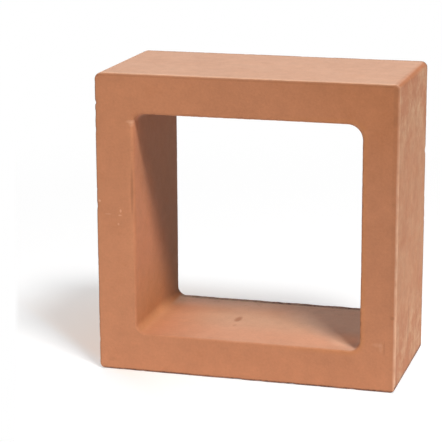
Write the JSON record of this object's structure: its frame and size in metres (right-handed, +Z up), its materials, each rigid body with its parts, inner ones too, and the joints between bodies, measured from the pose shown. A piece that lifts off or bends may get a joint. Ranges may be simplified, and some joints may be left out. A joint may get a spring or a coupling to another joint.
{
  "type": "terracotta screen block",
  "caption": "Square fired-clay screen block, an open frame with one square opening through its depth, laid on edge in pierced walls and screens.",
  "frame": {"origin": "middle of the bottom bed face, on the surface that the block stands on", "axes": "+Z up, from the bottom bed face to the top one; +Y through the opening, from the front face to the rear face; +X to the right seen from the front"},
  "size_m": [0.2, 0.1, 0.2],
  "materials": {
    "terracotta": "bare unglazed fired clay, matt, with faint grain and pale bloom on the sides"
  },
  "bodies": {
    "root": {"screen_block": "terracotta"}
  },
  "joints": []
}
